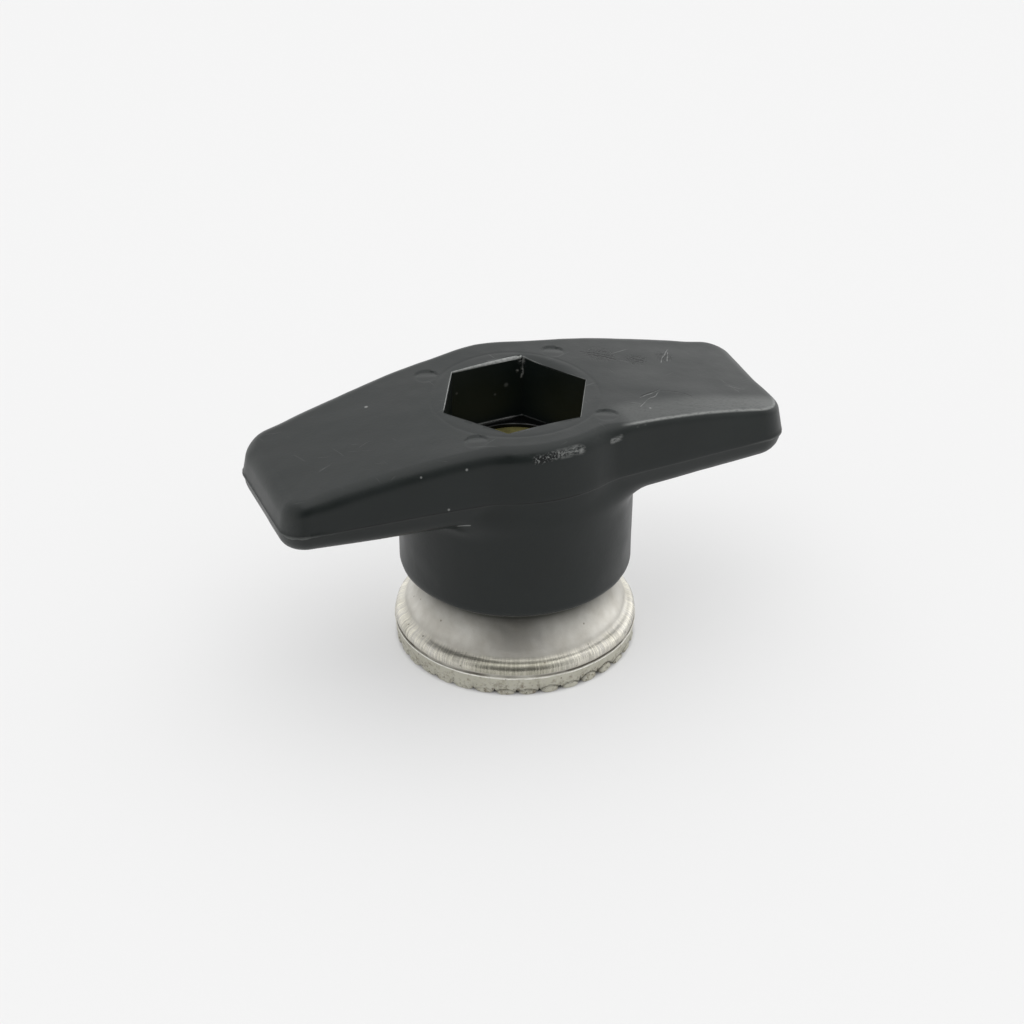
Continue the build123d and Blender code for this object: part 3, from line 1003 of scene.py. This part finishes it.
# A thin painted highlight along the band's top lip.
lip_highlight = times(tree, fit(tree, level, band_height - 0.2, band_height - 0.13),
            fit(tree, level, band_height + 0.02, band_height - 0.04))
metal = mix_colours(tree, times(tree, lip_highlight, fit(tree, blotch, 0.3, 0.5)), metal, lip_highlight_colour)

# %% Painted shadow under the hub, a darker line above the band, and dirt and painted shade between the teeth
hub_shadow_paint = (0.018, 0.020, 0.017, 1)
stain_brown = (0.14, 0.10, 0.055, 1)
pitting_brown = (0.07, 0.06, 0.035, 1)
line_brown = (0.06, 0.05, 0.035, 1)
grime_and_shade_brown = (0.05, 0.045, 0.03, 1)
pit_brown = (0.12, 0.10, 0.07, 1)
# The flare just under the hub is painted near black, as a painted shadow and dark reflection of the hub.
under_hub_shadow = fit(tree, level, hub_bottom - 4.0, hub_bottom - 1.4)
under_hub_shadow = maths(tree, "POWER", under_hub_shadow, 1.4)
metal = mix_colours(tree, times(tree, under_hub_shadow, 0.92), metal, hub_shadow_paint)
stain = fit(tree, noise(tree, place, 1.4, 4, 0.7), 0.52, 0.66)
stain = times(tree, stain, fit(tree, level, 2.6, 0.8))
metal = mix_colours(tree, times(tree, stain, 0.7), metal, stain_brown)
pitting = fit(tree, noise(tree, place, 2.6, 3, 0.7), 0.58, 0.66)
pitting = times(tree, pitting, fit(tree, level, 1.6, 0.5))
metal = mix_colours(tree, times(tree, pitting, 0.8), metal, pitting_brown)
# The line between the band and the bead is darkened brown in patches.
line_darkening = times(tree, in_line, fit(tree, noise(tree, place, 0.22, 2), 0.42, 0.56, 0.15, 0.85))
metal = mix_colours(tree, line_darkening, metal, line_brown)
# Grooves and notches of the teeth: dirt and painted shade.
metal = mix_colours(tree, times(tree, grime_and_shade_mark, 0.85), metal, grime_and_shade_brown)
pits = add_node(tree, "ShaderNodeTexVoronoi", {"Vector": place, "Scale": 0.7})
pit = fit(tree, pits.outputs["Distance"], 0.09, 0.05)
metal = mix_colours(tree, times(tree, pit, 0.6), metal, pit_brown)
tree.links.new(metal, shader.inputs["Base Color"])

# %% How shiny and how rough the foot is
dirt = maths(tree, "MAXIMUM", grime_and_shade_mark, times(tree, stain, 0.7))
metallic = maths(tree, "SUBTRACT", 1.0, times(tree, dirt, 0.6))
tree.links.new(metallic, shader.inputs["Metallic"])
rough = fit(tree, blotch, 0.3, 0.7, 0.33, 0.43)
rough = maths(tree, "SUBTRACT", rough, times(tree, on_bead, 0.14))
rough = plus(tree, rough, times(tree, low_band, 0.14))
crease = times(tree, fit(tree, level, bead_top - 0.35, bead_top - 0.05),
               fit(tree, level, flare_start + 0.4, flare_start))
rough = plus(tree, rough, times(tree, crease, 0.16))
rough = plus(tree, rough, times(tree, dirt, 0.2))
tree.links.new(rough, shader.inputs["Roughness"])
height = times(tree, times(tree, brush, on_bead), 0.05)
height = plus(tree, height, times(tree, turned, 0.008))
height = plus(tree, height, times(tree, fine, 0.012))
height = plus(tree, height, times(tree, times(tree, fine, low_band), 0.03))
bump_skin(tree, shader, height, 0.7)
foot_collar.data.materials.append(nickel)
print("the nickel's tree has", len(tree.nodes), "nodes")

# %% [markdown]
# ### Tarnished brass
# The core's shape in the frame is already right, so its own mesh stays and only gets a finish.
# It is old brass, brown and olive with dull patches, and the lathe's rings still show. Only its
# top face is seen, deep in the socket, so three noises are enough: patches, rings and specks.

# %% The core's finish
brass, tree, shader, place = new_finish("tarnished_brass")
parts = add_node(tree, "ShaderNodeSeparateXYZ", {0: place})
flat_place = vector_maths(tree, "MULTIPLY", place, (1, 1, 0))
from_centre = vector_maths(tree, "LENGTH", flat_place, out=1)
ring_place = add_node(tree, "ShaderNodeCombineXYZ", {0: from_centre, 1: parts.outputs[2]}).outputs[0]
turned = noise(tree, ring_place, 6.0, 3, 0.6)
patch = noise(tree, place, 0.8, 4, 0.6)
fine = noise(tree, place, 6.0, 3, 0.6)
brass_olive = (0.31, 0.285, 0.105, 1)
brass_brown = (0.215, 0.195, 0.075, 1)
ring_yellow = (0.46, 0.37, 0.16, 1)
speck_brown = (0.08, 0.07, 0.035, 1)
metal = mix_colours(tree, fit(tree, patch, 0.35, 0.65), brass_olive, brass_brown)
metal = mix_colours(tree, fit(tree, turned, 0.55, 0.75, 0, 0.5), metal, ring_yellow)
metal = mix_colours(tree, fit(tree, fine, 0.58, 0.7, 0, 0.6), metal, speck_brown)
tree.links.new(metal, shader.inputs["Base Color"])
tree.links.new(fit(tree, patch, 0.3, 0.7, 0.65, 0.9), shader.inputs["Metallic"])
tree.links.new(fit(tree, fine, 0.3, 0.7, 0.38, 0.6), shader.inputs["Roughness"])
height = plus(tree, times(tree, turned, 0.02), times(tree, fine, 0.02))
bump_skin(tree, shader, height, 0.6)
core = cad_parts["socket_core"]
core.data.materials.clear()
core.data.materials.append(brass)
print("core", core.name, "keeps its mesh of", len(core.data.vertices), "points")

# %% [markdown]
# ## Floor, light and camera
# The key stands on a pale sheet inside a white tent. A tent is soft light from all round, but
# not even: the roof is brighter than the front, which is why the top face of the handle looks
# lighter than its sides.
#
# The sheet is lit from behind as well, so it is almost white while the key gets little light
# from below. In Blender it is a grey sheet that glows by itself. The glow stops just under the
# key, so the key still has a soft dark line where it touches the sheet.

# %% The floor
floor_half = 1.2            # metres
glow_from, glow_full = 0.0112, 0.0121   # distance from the key's axis, in metres
floor_mesh = bpy.data.meshes.new("floor")
floor_mesh.from_pydata(
    [(-floor_half, -floor_half, 0), (floor_half, -floor_half, 0), (floor_half, floor_half, 0),
     (-floor_half, floor_half, 0)], [], [(0, 1, 2, 3)])
floor = bpy.data.objects.new("floor", floor_mesh)
bpy.context.scene.collection.objects.link(floor)
paper = bpy.data.materials.new("pale_sheet")
paper.use_nodes = True
tree = paper.node_tree
shader = tree.nodes["Principled BSDF"]
shader.inputs["Base Color"].default_value = (0.38, 0.38, 0.38, 1)
shader.inputs["Emission Color"].default_value = (1, 1, 1, 1)
shader.inputs["Roughness"].default_value = 0.7
shader.inputs["Specular IOR Level"].default_value = 0.2
place = add_node(tree, "ShaderNodeTexCoord").outputs["Object"]
from_key = vector_maths(tree, "LENGTH", place, out=1)
glow = fit(tree, from_key, glow_from, glow_full, 0.0, 0.40)
tree.links.new(glow, shader.inputs["Emission Strength"])
floor_mesh.materials.append(paper)
print("sheet", 2 * floor_half, "m wide")

# %% [markdown]
# ### The tent
# The tent's cloth is the world round the key. It is dim at the opening in front, where the maker
# stands, brighter behind, and a little brighter again at the right, where a lamp is near the
# cloth. All of that follows the direction in the room, so it stays put when the key is seen from
# another side. The roof is a panel of its own, and a second panel fills the front without
# showing in the shiny metal.

# %% The tent's cloth
scene = bpy.context.scene
scene.view_settings.view_transform = "Standard"
world = bpy.data.worlds.new("tent")
world.use_nodes = True
tree = world.node_tree
sky_place = add_node(tree, "ShaderNodeTexCoord").outputs["Generated"]
opening = Vector((-0.36, -0.87, 0.34)).normalized()
near_lamp = Vector((0.93, 0.05, 0.25)).normalized()
towards = vector_maths(tree, "DOT_PRODUCT", sky_place, opening, out=1)
glow = fit(tree, towards, 0.72, 0.97, 1.0, 0.20)
glow = times(tree, glow, fit(tree, towards, -0.2, -0.95, 1.0, 1.8))
to_right = vector_maths(tree, "DOT_PRODUCT", sky_place, near_lamp, out=1)
glow = plus(tree, glow, fit(tree, to_right, 0.75, 0.97, 0.0, 0.7))
tree.nodes["Background"].inputs["Color"].default_value = (1, 1, 1, 1)
tree.links.new(times(tree, glow, 0.80), tree.nodes["Background"].inputs["Strength"])
scene.world = world
print("nodes in the tent's tree:", len(tree.nodes))


# %% The roof and the front panel
def soft_light(name, place, width, height, watts, aim=(0, 0, 0.015)):
    """A flat glowing panel that faces the key."""
    lamp = bpy.data.lights.new(name, "AREA")
    lamp.shape = "RECTANGLE"
    lamp.size = width
    lamp.size_y = height
    lamp.energy = watts
    made = bpy.data.objects.new(name, lamp)
    made.location = place
    made.rotation_euler = (Vector(aim) - Vector(place)).to_track_quat("-Z", "Y").to_euler()
    scene.collection.objects.link(made)
    return made


soft_light("tent_roof", (0.05, 0.12, 1.05), 1.5, 1.3, 5.9)
front_fill = soft_light("front_fill", (-0.20, -0.50, 0.95), 0.9, 0.7, 2.6)
front_fill.visible_glossy = False
print("the front panel is", round(front_fill.location.length, 2), "m from the key")

# %% The camera
# It stands to the front left and looks down at about a third of a right angle, with a long lens
# so that the far wing does not shrink.
def look_from(azimuth, elevation):
    """The camera's right, up and back directions."""
    a, e = math.radians(azimuth), math.radians(elevation)
    back = Vector((math.sin(a) * math.cos(e), -math.cos(a) * math.cos(e), math.sin(e)))
    right = Vector((0, 0, 1)).cross(back).normalized()
    return right, back.cross(right), back


right, up, back = look_from(-21.94, 31.98)
camera_distance = 294.24 * MM
middle = (cad_low + cad_high) / 2
aim = middle + Vector((-0.29, 0.12, 0.10)) * MM
camera = bpy.data.objects.new("camera", bpy.data.cameras.new("camera"))
facing = Matrix((right, up, back)).transposed().to_4x4()
camera.matrix_world = Matrix.Translation(aim + back * camera_distance) @ facing
camera.data.sensor_width = 36
camera.data.lens = 105.47
camera.data.clip_start = 0.01
camera.data.clip_end = 20
scene.collection.objects.link(camera)
scene.camera = camera
print("camera", round(camera_distance, 3), "m away with a", round(camera.data.lens), "mm lens")
